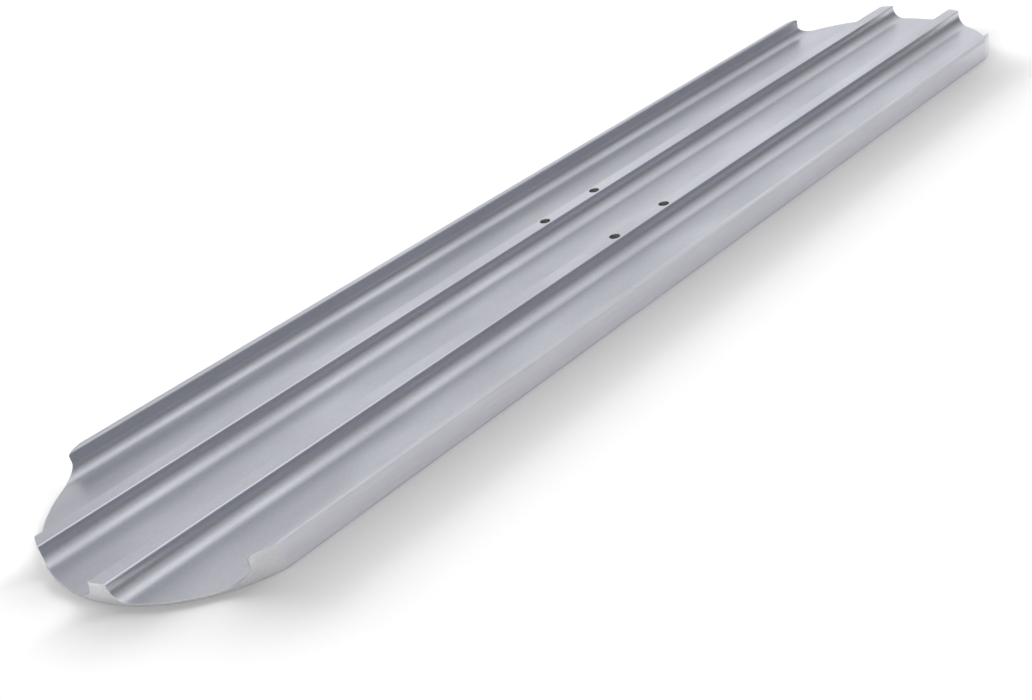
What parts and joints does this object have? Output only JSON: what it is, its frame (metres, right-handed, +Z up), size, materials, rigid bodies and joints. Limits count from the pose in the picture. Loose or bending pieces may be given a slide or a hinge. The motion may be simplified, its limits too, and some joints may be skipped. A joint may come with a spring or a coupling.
{
  "type": "bull float blade",
  "caption": "Long flat light-alloy blade with rounded ends, upturned edge lips and ribs with bolt holes for a handle bracket, for smoothing fresh concrete.",
  "frame": {"origin": "centre of the flat working face, which is the bottom of the blade", "axes": "+X along the blade, +Y across it, +Z up, from the working face to the ribs' tops"},
  "size_m": [0.9144, 0.2032, 0.0173],
  "materials": {
    "light_alloy": "satin extruded, with sawn ends"
  },
  "bodies": {
    "root": {"float_blade": "light_alloy"}
  },
  "joints": []
}
